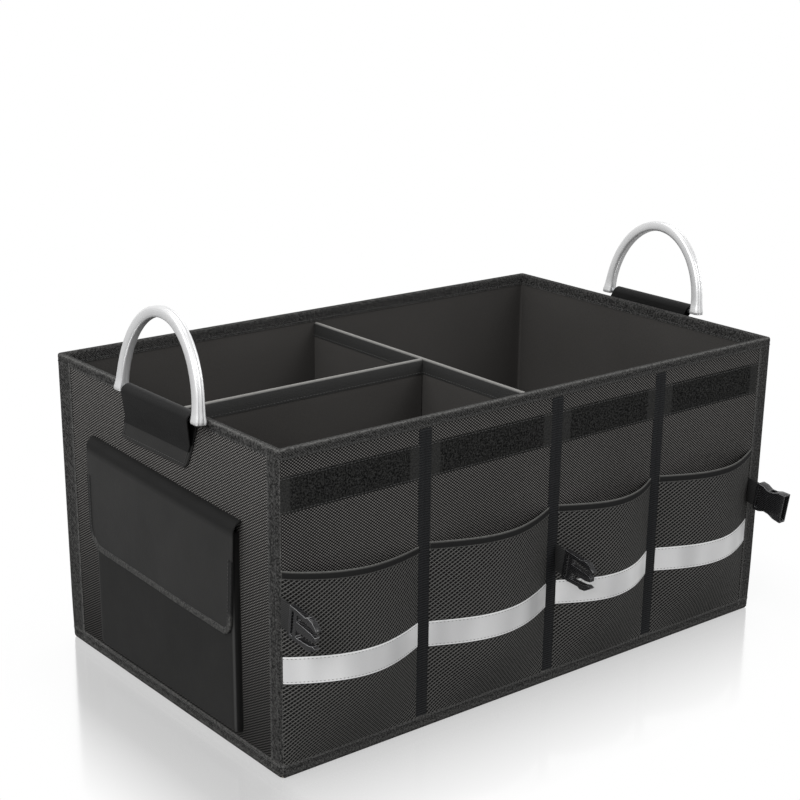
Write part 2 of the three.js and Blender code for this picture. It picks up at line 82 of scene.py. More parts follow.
sky = bpy.data.worlds.new("sky")
scene.world = sky
sky.use_nodes = True
sky_nodes, sky_links = sky.node_tree.nodes, sky.node_tree.links
sky_rays = sky_nodes.new("ShaderNodeLightPath")
seen = sky_rays.outputs["Is Camera Ray"]
for ray in ("Is Glossy Ray", "Is Transmission Ray"):
    either = sky_nodes.new("ShaderNodeMath")
    either.operation = "MAXIMUM"
    sky_links.new(seen, either.inputs[0])
    sky_links.new(sky_rays.outputs[ray], either.inputs[1])
    seen = either.outputs[0]
sky_tone = sky_nodes.new("ShaderNodeMapRange")
sky_tone.inputs["To Min"].default_value = 0.5
sky_tone.inputs["To Max"].default_value = 1.0
sky_links.new(seen, sky_tone.inputs["Value"])
sky_links.new(sky_tone.outputs["Result"], sky_nodes["Background"].inputs["Strength"])
sky_nodes["Background"].inputs["Color"].default_value = (1, 1, 1, 1)

floor_mesh = bpy.data.meshes.new("floor")
floor_reach = 14
floor_mesh.from_pydata([(x * floor_reach, y * floor_reach, -0.3 * mm)
                        for x, y in ((-1, -1), (1, -1), (1, 1), (-1, 1))], [], [(0, 1, 2, 3)])
floor = add_object("floor", floor_mesh)


# Outer cloth. Each wall and the base is coarse charcoal oxford cloth laid over the boards and sewn
# to its neighbours under the binding tape. It crowns a little between the folds.
class Field:
    """A number or a place that changes over a surface, so that sums on it read as Python."""

    def __init__(self, finish, socket):
        self.finish = finish
        self.socket = socket

    def maths(self, operation, *others, swapped=False, clamp=False):
        terms = [self, *others]
        if swapped:
            terms.reverse()
        settings = {"operation": operation, "use_clamp": clamp}
        return self.finish.node("ShaderNodeMath", settings, dict(enumerate(terms)))

    def __add__(self, other):
        return self.maths("ADD", other)

    def __sub__(self, other):
        return self.maths("SUBTRACT", other)

    def __rsub__(self, other):
        return self.maths("SUBTRACT", other, swapped=True)

    def __mul__(self, other):
        return self.maths("MULTIPLY", other)

    def __truediv__(self, other):
        return self.maths("DIVIDE", other)

    def __pow__(self, power):
        return self.maths("POWER", power)

    __radd__ = __add__
    __rmul__ = __mul__

    def size(self):
        return self.maths("ABSOLUTE")

    def ramp(self, low, high):
        """0 below low, 1 above high and straight between them."""
        return ((self - low) / (high - low)).maths("ADD", 0, clamp=True)

    def ripple(self, pitch, start=0):
        """A wave from 0 to 1 that repeats every pitch metres."""
        return (self * (2 * pi / pitch) + start).maths("SINE") * 0.5 + 0.5


class Finish:
    """One finish of the box: a material whose nodes are all added by one method."""

    def __init__(self, name, roughness=None, specular=None, metallic=None):
        self.material = bpy.data.materials.new(name)
        self.material.use_nodes = True
        self.tree = self.material.node_tree
        self.shader = self.tree.nodes["Principled BSDF"]
        self.set("Roughness", roughness)
        self.set("Specular IOR Level", specular)
        self.set("Metallic", metallic)

    def feed(self, socket, value):
        if isinstance(value, Field):
            self.tree.links.new(value.socket, socket)
        elif value is not None:
            socket.default_value = value

    def set(self, socket, value):
        self.feed(self.shader.inputs[socket], value)

    def node(self, kind, settings=None, sockets=None, output=0):
        made = self.tree.nodes.new(kind)
        for key, value in (settings or {}).items():
            setattr(made, key, value)
        for key, value in (sockets or {}).items():
            self.feed(made.inputs[key], value)
        return Field(self, made.outputs[output])

    def split(self, vector):
        parts = self.node("ShaderNodeSeparateXYZ", None, {0: vector})
        return [Field(self, socket) for socket in parts.socket.node.outputs]

    def place(self):
        return self.node("ShaderNodeTexCoord", None, None, "Object")

    def along_cloth(self):
        """Metres along and across the cloth, from the piece's own map."""
        return self.split(self.node("ShaderNodeUVMap", {"uv_map": "cloth"}))[:2]

    def painted(self, attribute):
        return self.node("ShaderNodeAttribute", {"attribute_name": attribute}, None, "Fac")

    def grain(self, scale, detail=2, where=None, stretch=None):
        where = where or self.place()
        if stretch:
            where = self.node("ShaderNodeVectorMath", {"operation": "MULTIPLY"}, {0: where, 1: stretch})
        return self.node("ShaderNodeTexNoise", None, {"Vector": where, "Scale": scale, "Detail": detail})

    def blend(self, share, *ends):
        """From a low to a high tone, each a grey, a colour or a field."""
        ends = [(tone,) * 3 if isinstance(tone, float) else tone for tone in ends]
        low, high = [(*tone, 1) if isinstance(tone, tuple) else tone for tone in ends]
        return self.node("ShaderNodeMix", {"data_type": "RGBA"}, {0: share, 6: low, 7: high}, 2)

    def colour(self, share, low, high):
        self.set("Base Color", self.blend(share, low, high))

    def pores(self):
        return self.node("ShaderNodeTexVoronoi", None, {"Vector": self.place(), "Scale": 1100})

    def emboss(self, height, depth):
        """Raises the surface by depth metres where height is 1."""
        bump = {"Height": height, "Distance": depth, "Strength": 1}
        self.set("Normal", self.node("ShaderNodeBump", None, bump))


def oxford(name, across, up, pitch_across, pitch_up, shade_share=0.0):
    """Basket weave: raised threads in staggered rows, with darker pits and a little slub, and painted shade
    that darkens it towards the bottom.
    """
    cloth = Finish(name, 0.9, 0.08)
    where = cloth.split(cloth.place())
    a, b = where["xyz".index(across)], where["xyz".index(up)]
    over = (a * (2 * pi / pitch_across)).maths("SINE") * (b * (2 * pi / pitch_up)).maths("SINE")
    slub = cloth.grain(700, 1)
    thread = (over * 0.5 + 0.5) * 0.88 + slub * 0.12
    wide = cloth.grain(9, 2)
    # Painted shade: the cloth is drawn darker towards the bottom, by the given share.
    painted_low_shade = b.ramp(0, 0.285) * shade_share + (1 - shade_share * 0.6)
    tone = thread.ramp(0.40, 0.88) ** 1.3 * (wide * 0.4 + 0.8) * painted_low_shade
    cloth.colour(tone, 0.002, (0.195, 0.188, 0.181))
    cloth.emboss(thread, 0.5 * mm)
    return cloth


front_cloth = oxford("oxford_long_walls", "x", "z", 3.4 * mm, 2.6 * mm)
# The end cloth gets painted shade, darker towards the bottom.
end_cloth = oxford("oxford_ends", "y", "z", 4.2 * mm, 2.4 * mm, 1.15)
base_cloth = oxford("oxford_base", "x", "y", 3.4 * mm, 2.6 * mm)


def quads(rows, columns, ring=False):
    """Faces of a grid of points; a ring joins the last column to the first."""
    last = columns if ring else columns - 1
    return [[(i, j), (i, j + 1), (i + 1, j + 1), (i + 1, j)] for i in range(rows - 1) for j in range(last)]


def make_piece(name, made, finish, nodes=(), body="organizer_body", paint=None, sharp=38):
    """A smooth piece from points, faces and perhaps a cloth map. Without a body it is left unattached."""
    points, faces, *maps = made
    mesh = bpy.data.meshes.new(name)
    mesh.from_pydata([tuple(point) for point in points], [], faces)
    if maps:
        cloth_map = mesh.uv_layers.new(name="cloth")
        corners = [corner for face in maps[0] for corner in face]
        for loop, corner in zip(cloth_map.data, corners):
            loop.uv = corner
    for attribute, values in (paint or {}).items():
        mesh.attributes.new(attribute, "FLOAT", "POINT").data.foreach_set("value", values)
    shaped = bmesh.new()
    shaped.from_mesh(mesh)
    bmesh.ops.recalc_face_normals(shaped, faces=shaped.faces)
    shaped.to_mesh(mesh)
    shaped.free()
    mesh.shade_smooth()
    mesh.set_sharp_from_angle(angle=radians(sharp))
    mesh.materials.append(finish.material)
    piece = add_object(name, mesh)
    if body:
        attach(piece, body)
    if nodes:
        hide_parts(*nodes)
    return piece


def sheet_of_cloth(rows, thickness, ring=False):
    """Points, faces and cloth map of a closed sheet with a soft edge, from its outer face's rows."""
    count, width = len(rows), len(rows[0])
    normals = []
    for i, row in enumerate(rows):
        for j in range(width):
            before = row[j - 1] if (ring or j > 0) else row[j]
            after = row[(j + 1) % width] if (ring or j < width - 1) else row[j]
            below, above = rows[max(i - 1, 0)][j], rows[min(i + 1, count - 1)][j]
            normals.append((after - before).cross(above - below).normalized())
    outer = [point for row in rows for point in row]
    points = outer + [point - normal * thickness for point, normal in zip(outer, normals)]
    along, across = [0.0], [0.0]
    for j in range(1, width + 1):
        along.append(along[-1] + (rows[0][j % width] - rows[0][j - 1]).length)
    for i in range(1, count):
        across.append(across[-1] + (rows[i][0] - rows[i - 1][0]).length)
    faces, maps = [], []
    shift = len(outer)
    for corners in quads(count, width, ring):
        chart = [(along[j], across[i]) for i, j in corners]
        index = [i * width + j % width for i, j in corners]
        faces += [index, [k + shift for k in reversed(index)]]
        maps += [chart, chart[::-1]]
    if ring:
        edges = [[(i, j % width) for j in range(width + 1)] for i in (0, count - 1)]
    else:
        edges = [[(0, j) for j in range(width)] + [(i, width - 1) for i in range(1, count)]
                 + [(count - 1, j) for j in range(width - 2, -1, -1)]
                 + [(i, 0) for i in range(count - 2, -1, -1)]]
    for edge in edges:
        middle = {}
        for i, j in edge:
            if (i, j) not in middle:
                k = i * width + j
                inward = rows[min(max(i, 1), count - 2)][j if ring else min(max(j, 1), width - 2)]
                outwards = (rows[i][j] - inward).normalized() * abs(thickness) * 0.4
                middle[i, j] = len(points)
                points.append((points[k] + points[k + shift]) / 2 + outwards)
        for (i, j), (m, n) in zip(edge, edge[1:]):
            a, b = i * width + j, m * width + n
            chart = [(along[j], across[i]), (along[n], across[m])]
            faces += [[a, b, middle[m, n], middle[i, j]], [middle[i, j], middle[m, n], b + shift, a + shift]]
            maps += [[chart[0], chart[1], chart[1], chart[0]]] * 2
    return points, faces, maps


half_length, half_width, rim = 290 * mm, 177.5 * mm, 285 * mm
fold_places = [-143.5 * mm, 6 * mm, 136.5 * mm]
cover_thickness = 1 * mm


def spaced(start, end, steps):
    return [start + (end - start) * i / steps for i in range(steps + 1)]


def crown_between(place, edges):
    """0 at each edge and 1 midway between two of them."""
    for low, high in zip(edges, edges[1:]):
        if low <= place <= high:
            return sin(pi * (place - low) / (high - low))
    return 0.0


def unevenness(a, b, seed, size=60 * mm):
    return noise.noise(Vector((a / size, b / size, seed)))


wall_edges = [-half_length, *fold_places, half_length]
wall_heights = spaced(1 * mm, rim - 0.9 * mm, 26)


def corner_round(z):
    """Radius of the box's upright corners, which are rounder near the floor."""
    return 3.4 * mm + 2 * mm * max(0, 1 - z / (60 * mm)) ** 2


corner_zone = 12 * mm


def near_corner(a, reach, z):
    """Where a point of a wall comes to lie on the corner's round, and how far that is behind the wall."""
    radius = corner_round(z)
    gap = reach - abs(a)
    if gap > corner_zone:
        return a, 0.0
    gap = 0.3 * radius + gap * (corner_zone - 0.3 * radius) / corner_zone
    drop = radius - sqrt(radius ** 2 - (radius - gap) ** 2) if gap < radius else 0.0
    return copysign(reach - gap, a), drop


def wall_cover(name, side, along_x, finish):
    rows = []
    reach = half_length if along_x else half_width
    close = [reach - gap * mm for gap in (0, 1.5, 3, 4.5, 6, 9)]
    close += [-a for a in close]
    places = sorted(spaced(corner_zone - reach, reach - corner_zone, 70 if along_x else 42) + close)
    for z in wall_heights:
        row = []
        for a in places:
            crown = crown_between(a, wall_edges) if along_x else crown_between(a, [-half_width, half_width])
            lift = 0.35 * mm * crown * crown_between(z, [0, rim]) + 0.2 * mm * unevenness(a, z, side * 3.1)
            a, drop = near_corner(a, reach, z)
            if along_x:
                row.append(Vector((-side * a, side * (half_width + lift - drop), z)))
            else:
                row.append(Vector((side * (half_length + lift - drop), side * a, z)))
        rows.append(row)
    cover = make_piece(name, sheet_of_cloth(rows, cover_thickness), finish, [name])


wall_cover("front_cover", -1, True, front_cloth)
wall_cover("back_cover", 1, True, front_cloth)
wall_cover("left_cover", -1, False, end_cloth)
wall_cover("right_cover", 1, False, end_cloth)

base_rows = []
base_ys = spaced(1 * mm - half_width, half_width - 1 * mm, 24) + [5 * mm - half_width, half_width - 5 * mm]
for y in sorted(base_ys):
    past = max(0, abs(y) - half_width + corner_round(0))
    end = half_length - 1 * mm - corner_round(0) + sqrt(corner_round(0) ** 2 - past ** 2)
    base_rows.append([Vector((x, -y, 0.9 * mm - 0.2 * mm * unevenness(x, y, 8) ** 2))
                      for x in spaced(-end, end, 40)])
base_cover = make_piece("bottom_cover", sheet_of_cloth(base_rows, -0.8 * mm), base_cloth,
                        ["bottom_cover"])

# Boards. Grey-brown pressed board, cut to the wall panels, stands between the cloth and the lining.
# Only their edges could be seen, through a worn seam, so they keep their plain cut shape.
board_finish = Finish("pressed_board", 0.9)
fibres = board_finish.grain(260, 4, stretch=(1, 1, 0.3))
board_finish.colour(fibres, (0.11, 0.095, 0.075), (0.21, 0.185, 0.15))
board_finish.emboss(fibres, 0.15 * mm)


def recoat(node_name, finish):
    """Gives a node of the CAD its finish; the node keeps its own shape."""
    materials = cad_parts[node_name].data.materials
    materials.clear()
    materials.append(finish.material)


for node_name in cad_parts:
    if "board" in node_name:
        recoat(node_name, board_finish)

# Lining. One tub of smooth dark grey-brown nonwoven cloth lies against the boards and over the
# base boards. It is creased where the walls fold and bulges a little between the creases.
lining_finish = Finish("nonwoven_lining", 0.75, 0.12)
soft = lining_finish.grain(7, 2)
fleck = lining_finish.grain(900, 2)
lining_finish.colour(soft * 0.6 + fleck * 0.4, (0.030, 0.0285, 0.027), (0.066, 0.063, 0.060))
lining_finish.emboss(fleck * 0.5 + lining_finish.grain(55, 2) * 0.8, 0.25 * mm)


def loop_round(half_x, half_y, radius, height, long_steps=56, short_steps=36, corner_steps=5):
    """Points round an upright box with rounded corners, anticlockwise from its near left corner."""
    sides = [(-1, -1, 1, 0, half_x, long_steps), (1, -1, 0, 1, half_y, short_steps),
             (1, 1, -1, 0, half_x, long_steps), (-1, 1, 0, -1, half_y, short_steps)]
    points = []
    for sx, sy, dx, dy, half, steps in sides:
        start = Vector((sx * half_x, sy * half_y, 0)) + Vector((dx, dy, 0)) * radius
        run = 2 * half - 2 * radius
        points += [start + Vector((dx, dy, 0)) * (run * i / steps) for i in range(steps + 1)]
        end = start + Vector((dx, dy, 0)) * run
        centre = end + Vector((-dy, dx, 0)) * radius
        for i in range(1, corner_steps):
            turn = Matrix.Rotation(pi / 2 * i / corner_steps, 3, "Z")
            points.append(centre + turn @ (end - centre))
    return [Vector((p.x, p.y, height)) for p in points]


inside_x, inside_y, inside_floor = 285.2 * mm, 172.7 * mm, 4.8 * mm


def lining_row(height):
    row = []
    for p in loop_round(inside_x, inside_y, 2.5 * mm, height, 84, 52):
        on_long = abs(p.y) > inside_y - 2.4 * mm
        crease = min([abs(p.x - fold) for fold in fold_places]) if on_long else 1
        a = p.x if on_long else p.y + 5
        lift = 0.5 * mm * unevenness(a, height, 4 if p.y > 0 else 5, 70 * mm)
        lift += 0.5 * mm * (crown_between(p.x, [-inside_x, *fold_places, inside_x]) if on_long else 0.5)
        if crease < 4 * mm:
            lift -= 0.5 * mm * (1 - crease / (4 * mm))
        out = Vector((0, p.y, 0)) if on_long else Vector((p.x, 0, 0))
        row.append(p - out.normalized() * (lift if 6 * mm < height < rim - 14 * mm else 0))
    return row


lining_rows = [lining_row(z) for z in spaced(inside_floor, rim - 0.9 * mm, 24)]
lining = make_piece("inner_lining", sheet_of_cloth(lining_rows, -0.7 * mm, ring=True), lining_finish,
                    ["inner_lining"])
floor_rows = [[Vector((x, y, inside_floor + 0.25 * mm * unevenness(x, y, 6)
                       - 0.6 * mm * exp(-((x - fold_places[1]) / (3 * mm)) ** 2)))
               for x in spaced(-inside_x, inside_x, 96)] for y in spaced(-inside_y, inside_y, 40)]
lining_floor = make_piece("lining_floor", sheet_of_cloth(floor_rows, 0.6 * mm), lining_finish)

# Binding tape. Black twill tape is folded over the rim and sewn through, and flat tape covers each
# bottom edge and upright corner. One row of dark stitches runs near each of its edges.
tape_finish = Finish("twill_tape", 0.85, 0.1)
tape_u, tape_v = tape_finish.along_cloth()
tape_fleck = tape_finish.grain(600, 2).ramp(0.34, 0.66)
twill = (tape_u + tape_v).ripple(2.3 * mm) * 0.35 + tape_fleck * 0.65
tape_tone = tape_finish.blend(twill ** 1.5, 0.002, (0.085, 0.084, 0.082))
# Painted highlight: the tape is drawn lighter along its edges and ridges, where they would catch the light.
tape_edge_highlight = tape_finish.painted("tape_edge_highlight") * (tape_fleck * 0.7 + 0.3)
tape_finish.colour(tape_edge_highlight, tape_tone, (0.13, 0.129, 0.125))
tape_finish.emboss(twill, 0.3 * mm)

thread_finish = Finish("sewing_thread", 0.6)
twist = thread_finish.grain(1500, 1)
thread_finish.colour(twist, 0.03, (0.09, 0.09, 0.088))


def swept(sections, closed_path=False):
    """Points, faces and cloth map of closed sections carried along a path; open paths are capped."""
    count, around = len(sections), len(sections[0])
    points = [point for section in sections for point in section]
    along, across = [0.0], [0.0]
    for i in range(1, count + 1):
        along.append(along[-1] + (sections[i % count][0] - sections[i - 1][0]).length)
    for j in range(1, around + 1):
        across.append(across[-1] + (sections[0][j % around] - sections[0][j - 1]).length)
    faces, maps = [], []
    for i in range(count if closed_path else count - 1):
        for j in range(around):
            corners = [(i, j), (i + 1, j), (i + 1, j + 1), (i, j + 1)]
            faces.append([(a % count) * around + b % around for a, b in corners])
            maps.append([(along[a], across[b]) for a, b in corners])
    if not closed_path:
        for i in (0, count - 1):
            faces.append([i * around + j for j in range(around)])
            maps.append([(along[i], across[j]) for j in range(around)])
    return points, faces, maps


def repeat_tree(label, size_names, kinds, links):
    """A Geometry Nodes tree: one copy of a small form at every Pitch along the edges of a mesh.

    The names are those of its inputs for the copy's size in X, Y and Z. The kinds make the form and
    its places; a link is a node and its socket, then the node and the socket that it feeds.
    """
    tree = bpy.data.node_groups.new(label, "GeometryNodeTree")
    plan = [("INPUT", "Geometry", "Geometry"), ("INPUT", "Pitch", "Float")]
    plan += [("INPUT", size, "Float") for size in dict.fromkeys(size_names)]
    plan += [("INPUT", "Material", "Material"), ("OUTPUT", "Geometry", "Geometry")]
    for way, key, kind in plan:
        tree.interface.new_socket(key, in_out=way, socket_type="NodeSocket" + kind)
    made = {key: tree.nodes.new(kind) for key, kind in {
        "given": "NodeGroupInput", "curve": "GeometryNodeMeshToCurve", "even": "GeometryNodeResampleCurve",
        **kinds, "size": "ShaderNodeCombineXYZ", "copies": "GeometryNodeInstanceOnPoints",
        "real": "GeometryNodeRealizeInstances", "coat": "GeometryNodeSetMaterial",
        "out": "NodeGroupOutput"}.items()}
    made["even"].mode = "LENGTH"
    for start, leaving, end, entering in [
            ("given", "Geometry", "curve", "Mesh"), ("curve", 0, "even", "Curve"),
            ("given", "Pitch", "even", "Length"), *links,
            *[("given", size, "size", axis) for size, axis in zip(size_names, "XYZ")],
            ("size", 0, "copies", "Scale"), ("copies", 0, "real", 0), ("real", 0, "coat", "Geometry"),
            ("given", "Material", "coat", "Material"), ("coat", 0, "out", 0)]:
        tree.links.new(made[start].outputs[leaving], made[end].inputs[entering])
    return tree, made


stitch_run, made = repeat_tree(
    "stitch_run", ("Thread width", "Thread width", "Stitch length"),
    {"points": "GeometryNodeCurveToPoints", "turn": "FunctionNodeAlignRotationToVector",
     "bead": "GeometryNodeMeshUVSphere"},
    [("even", 0, "points", "Curve"), ("points", "Points", "copies", "Points"),
     ("points", "Tangent", "turn", "Vector"), ("turn", "Rotation", "copies", "Rotation"),
     ("bead", "Mesh", "copies", "Instance")])
made["points"].mode = "EVALUATED"
made["turn"].axis = "Z"
for socket, value in (("Segments", 6), ("Rings", 4), ("Radius", 0.5)):
    made["bead"].inputs[socket].default_value = value


def grow(name, base_mesh, tree, inputs, body="organizer_body"):
    """Runs a tree on a mesh and keeps the result as a plain mesh that rides on a body."""
    holder = add_object(name + "_guide", base_mesh)
    modifier = holder.modifiers.new("grow", "NODES")
    modifier.node_group = tree
    for item in tree.interface.items_tree:
        if item.in_out == "INPUT" and item.name in inputs:
            modifier[item.identifier] = inputs[item.name]
    graph = bpy.context.evaluated_depsgraph_get()
    mesh = bpy.data.meshes.new_from_object(holder.evaluated_get(graph))
    bpy.data.objects.remove(holder)
    mesh.shade_smooth()
    piece = add_object(name, mesh)
    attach(piece, body)


def sew(name, paths, thread=thread_finish, pitch=3.6 * mm, length=2.7 * mm, width=0.5 * mm,
        body="organizer_body"):
    guide = bpy.data.meshes.new(name + "_guide")
    points, edges = [], []
    for path in paths:
        edges += [(len(points) + i, len(points) + i + 1) for i in range(len(path) - 1)]
        points += [tuple(point) for point in path]
    guide.from_pydata(points, edges, [])
    grow(name, guide, stitch_run, {"Pitch": pitch, "Stitch length": length, "Thread width": width,
                                   "Material": thread.material}, body)


def ring_loop(outset, height):
    radius = max(corner_round(height) + outset, 0.5 * mm)
    return loop_round(half_length + outset, half_width + outset, radius, height)


def tape_ring(name, section):
    """Folded tape round the whole box, from its outset, height and painted highlight at each point of its
    section.
    """
    loops = [ring_loop(outset * mm, height * mm) for outset, height, _ in section]
    make_piece(name, swept([list(points) for points in zip(*loops)], closed_path=True), tape_finish,
               paint={"tape_edge_highlight": [light for _ in loops[0] for _, _, light in section]})


tape_ring("rim_tape", [
    (0.1, 276.0, 0.5), (0.75, 276.3, 0.6), (1.0, 277.6, 0), (0.6, 279.6, 0), (1.0, 281.6, 0),
    (0.85, 283.6, 0.2), (0.2, 284.6, 0.9), (-0.9, 284.95, 0.5), (-2.4, 285.0, 0), (-4.9, 284.4, 0.1),
    (-5.6, 283.2, 0), (-5.8, 280.6, 0), (-5.5, 277.8, 0), (-5.8, 275.2, 0), (-5.6, 273.3, 0.4),
    (-4.9, 273.0, 0.4), (-4.85, 284.2, 0), (0.0, 284.2, 0)])
tape_ring("base_tape", [
    (0.05, 13.4, 0.2), (0.8, 13.0, 0.7), (1.05, 11.8, 0.4), (0.95, 10.0, 0), (0.55, 7.4, 0),
    (0.95, 4.6, 0.25), (0.6, 2.0, 0.1), (-0.8, 0.3, 0), (-3.0, 0.0, 0), (-9.0, 0.0, 0), (-9.0, 0.35, 0),
    (-1.2, 0.8, 0), (-0.1, 1.8, 0), (0.0, 6.0, 0)])


def corner_tape(name, side_x, side_y, on_end, on_wall, nodes):
    """Upright tape round one corner, so wide on the end and so wide on the long wall (0: only its round)."""
    outset = 0.85 * mm
    rows = []
    for z in spaced(4 * mm, rim - 5 * mm, 32):
        radius = corner_round(z)
        path = [(half_length + outset, half_width - y) for y in spaced(on_end, radius, 6)]
        path += [(half_length - radius + (radius + outset) * cos(t),
                  half_width - radius + (radius + outset) * sin(t))
                 for t in spaced(0.2, pi / 2 - 0.2 if on_wall else 1.0, 5)]
        if on_wall:
            path += [(half_length - x, half_width + outset) for x in spaced(radius, on_wall, 5)]
        rows.append([Vector((side_x * x, side_y * y, z)) for x, y in path])
    made = sheet_of_cloth(rows, 0.75 * mm * side_x * side_y)
    last = len(rows[0]) - 1
    # Painted highlight along both long edges of the corner tape.
    edges = [0.7 if k >= 2 * len(rows) * (last + 1) or k % (last + 1) in (0, last) else 0.0
             for k in range(len(made[0]))]
    make_piece(name, made, tape_finish, nodes, paint={"tape_edge_highlight": edges})
    inset, run = 2.2 * mm, spaced(16 * mm, 272 * mm, 12)
    seam_x = side_x * (half_length + outset + 0.1 * mm)
    seams = [[(seam_x, side_y * (half_width - y), z) for z in run]
             for y in (on_end - inset, corner_round(rim) + 1 * mm)]
    seams[1] = [(x, y, z) for x, y, z in seams[1] if z > 45 * mm]
    if on_wall:
        seam_y = side_y * (half_width + outset + 0.1 * mm)
        seams.append([(side_x * (half_length - on_wall + inset), seam_y, z) for z in run])
    return seams


seams = corner_tape("near_left_tape", -1, -1, 14.5 * mm, 0, ["left_binding"])
seams += corner_tape("near_right_tape", 1, -1, 14.5 * mm, 15.5 * mm, ["front_binding"])
seams += corner_tape("far_left_tape", -1, 1, 24 * mm, 17.5 * mm, ["back_binding"])
seams += corner_tape("far_right_tape", 1, 1, 24 * mm, 0, ["right_binding"])
for outset, height in ((1.1, 278), (-5.95, 275.6), (1.1, 10.8)):
    loop = ring_loop(outset * mm, height * mm)
    seams.append(loop + loop[:1])
sew("tape_stitches", seams)

# Fold tapes. Three near-black tapes with close cross ribs cover the folds of the front wall, where
# the cloth hinges between the boards. They are sewn down from the rim tape to the base tape.
ribbed_finish = Finish("ribbed_tape", 0.8, 0.12)
rib_field = ribbed_finish.split(ribbed_finish.place())[2].ripple(2.2 * mm)
rib_tone = rib_field * 0.8 + ribbed_finish.grain(600) * 0.3
ribbed_finish.colour(rib_tone, (0.003, 0.003, 0.004), (0.026, 0.027, 0.028))
ribbed_finish.emboss(rib_field, 0.3 * mm)
strip_half = 6.25 * mm


rib_stack, made = repeat_tree(
    "rib_stack", ("Half width", "Rib depth", "Rib height"),
    {"bar": "GeometryNodeMeshCylinder", "lay": "GeometryNodeTransform"},
    [("even", 0, "copies", "Points"), ("bar", "Mesh", "lay", "Geometry"), ("lay", 0, "copies", "Instance")])
for socket, value in (("Vertices", 8), ("Radius", 1), ("Depth", 2)):
    made["bar"].inputs[socket].default_value = value
made["lay"].inputs["Rotation"].default_value = (0, pi / 2, 0)

for number, fold in enumerate(fold_places, 1):
    rows = [[Vector((fold + a, -half_width - 0.75 * mm + 0.35 * mm * exp(-(a / (1.2 * mm)) ** 2), z))
             for a in spaced(-strip_half, strip_half, 10)] for z in spaced(11 * mm, 275 * mm, 60)]
    make_piece(f"fold_tape_{number}", sheet_of_cloth(rows, 0.7 * mm), ribbed_finish,
               [f"fold_strip_{number}"])
    guide = bpy.data.meshes.new("rib_guide")
    guide.from_pydata([(fold, -half_width - 0.62 * mm, z) for z in (14 * mm, 272 * mm)], [(0, 1)], [])
    grow(f"fold_tape_ribs_{number}", guide, rib_stack,
         {"Pitch": 2.2 * mm, "Half width": 5.6 * mm, "Rib depth": 0.42 * mm, "Rib height": 0.7 * mm,
          "Material": ribbed_finish.material})

# Fastening bands. A strip of looped hook-and-loop tape for a lid is sewn across each bay below the rim. Its
# pile is dark and fuzzy; its ends are flattened, and are drawn a little lighter as painted sheen.
pile_finish = Finish("looped_pile", 0.95, 0.05)
tuft = pile_finish.grain(640, 3)
# Painted sheen: the flattened ends of each band are drawn lighter.
ends = pile_finish.painted("ends")
pile_tone = pile_finish.blend(tuft.ramp(0.38, 0.72), 0.003, (0.038, 0.038, 0.037))
pile_finish.colour(ends * (tuft * 0.5 + 0.3), pile_tone, (0.036, 0.036, 0.035))
pile_finish.emboss(tuft, 0.8 * mm)
bays = [(x0 * mm, x1 * mm) for x0, x1 in (
    (-289.5, -149.75), (-137.25, -0.25), (12.25, 130.25), (142.75, 272.5))]
band_base, band_top = 232 * mm, 262 * mm
band_seams = []
for number, (x0, x1) in enumerate(bays, 1):
    xs = sorted([x0 + 9 * mm, x0 + 11 * mm, x1 - 9 * mm, x1 - 11 * mm, *spaced(x0, x1, 16)])
    heights = spaced(band_base, band_top, 10)
    rows = []
    for z in heights:
        row = []
        for x in xs:
            swell = 0.4 * mm * sin(pi * (z - band_base) / (band_top - band_base))
            swell *= min(1, (x - x0 + 1 * mm) / (11 * mm), (x1 + 1 * mm - x) / (11 * mm))
            x, drop = near_corner(x, half_length, z)
            row.append(Vector((x, drop - half_width - 0.55 * mm - swell, z)))
        rows.append(row)
    made = sheet_of_cloth(rows, 0.5 * mm)
    paint = [1.0 if p.x < x0 + 10 * mm or p.x > x1 - 10 * mm else 0.0 for p in made[0]]
    make_piece(f"fastening_band_{number}", made, pile_finish,
               [f"fastening_band_{number}"], paint={"ends": paint})
    for z in (band_base + 1.2 * mm, band_top - 1.2 * mm):
        band_seams.append([(x, -half_width - 0.85 * mm, z) for x in spaced(x0 + 1 * mm, x1 - 1 * mm, 2)])
sew("band_stitches", band_seams)

# Mesh pockets. Each bay has a pocket of black spacer mesh, sewn at both sides and at the base and
# cut wider than the bay, so that it bows outwards. Its cords cross in two slanting sets.
mesh_finish = Finish("spacer_mesh", 0.75, 0.12)
mesh_u, mesh_v = mesh_finish.along_cloth()
rising, falling, cord_pitch = radians(38), radians(46), 2.8 * mm
rising_cords = (mesh_v * cos(rising) - mesh_u * sin(rising)).ripple(cord_pitch)
falling_cords = (mesh_v * cos(falling) + mesh_u * sin(falling)).ripple(cord_pitch)
mesh_relief = rising_cords.maths("MAXIMUM", falling_cords * 0.85)
mesh_tone = (mesh_relief * 0.88 + mesh_finish.grain(700, 1) * 0.12).ramp(0.54, 0.97)
mesh_finish.colour(mesh_tone ** 1.8, 0.001, (0.15, 0.148, 0.142))
mesh_finish.emboss(mesh_relief, 0.7 * mm)

elastic_finish = Finish("folded_elastic", 0.8, 0.1)
elastic_v = elastic_finish.along_cloth()[1]
elastic_rib = elastic_v.ripple(0.9 * mm)
elastic_finish.emboss(elastic_rib, 0.12 * mm)
elastic_tone = elastic_finish.blend(elastic_rib, 0.006, 0.016)
# Painted highlight: the elastic's top fold is drawn light grey, as if lit from above.
lip = elastic_finish.painted("lip") * (elastic_finish.grain(420, 2) * 0.8 + 0.5)
elastic_finish.colour(lip, elastic_tone, (0.17, 0.168, 0.16))
edge_finish = Finish("elastic_edge_thread", 0.5)
edge_finish.colour(edge_finish.grain(900), (0.06, 0.06, 0.057), (0.16, 0.16, 0.152))

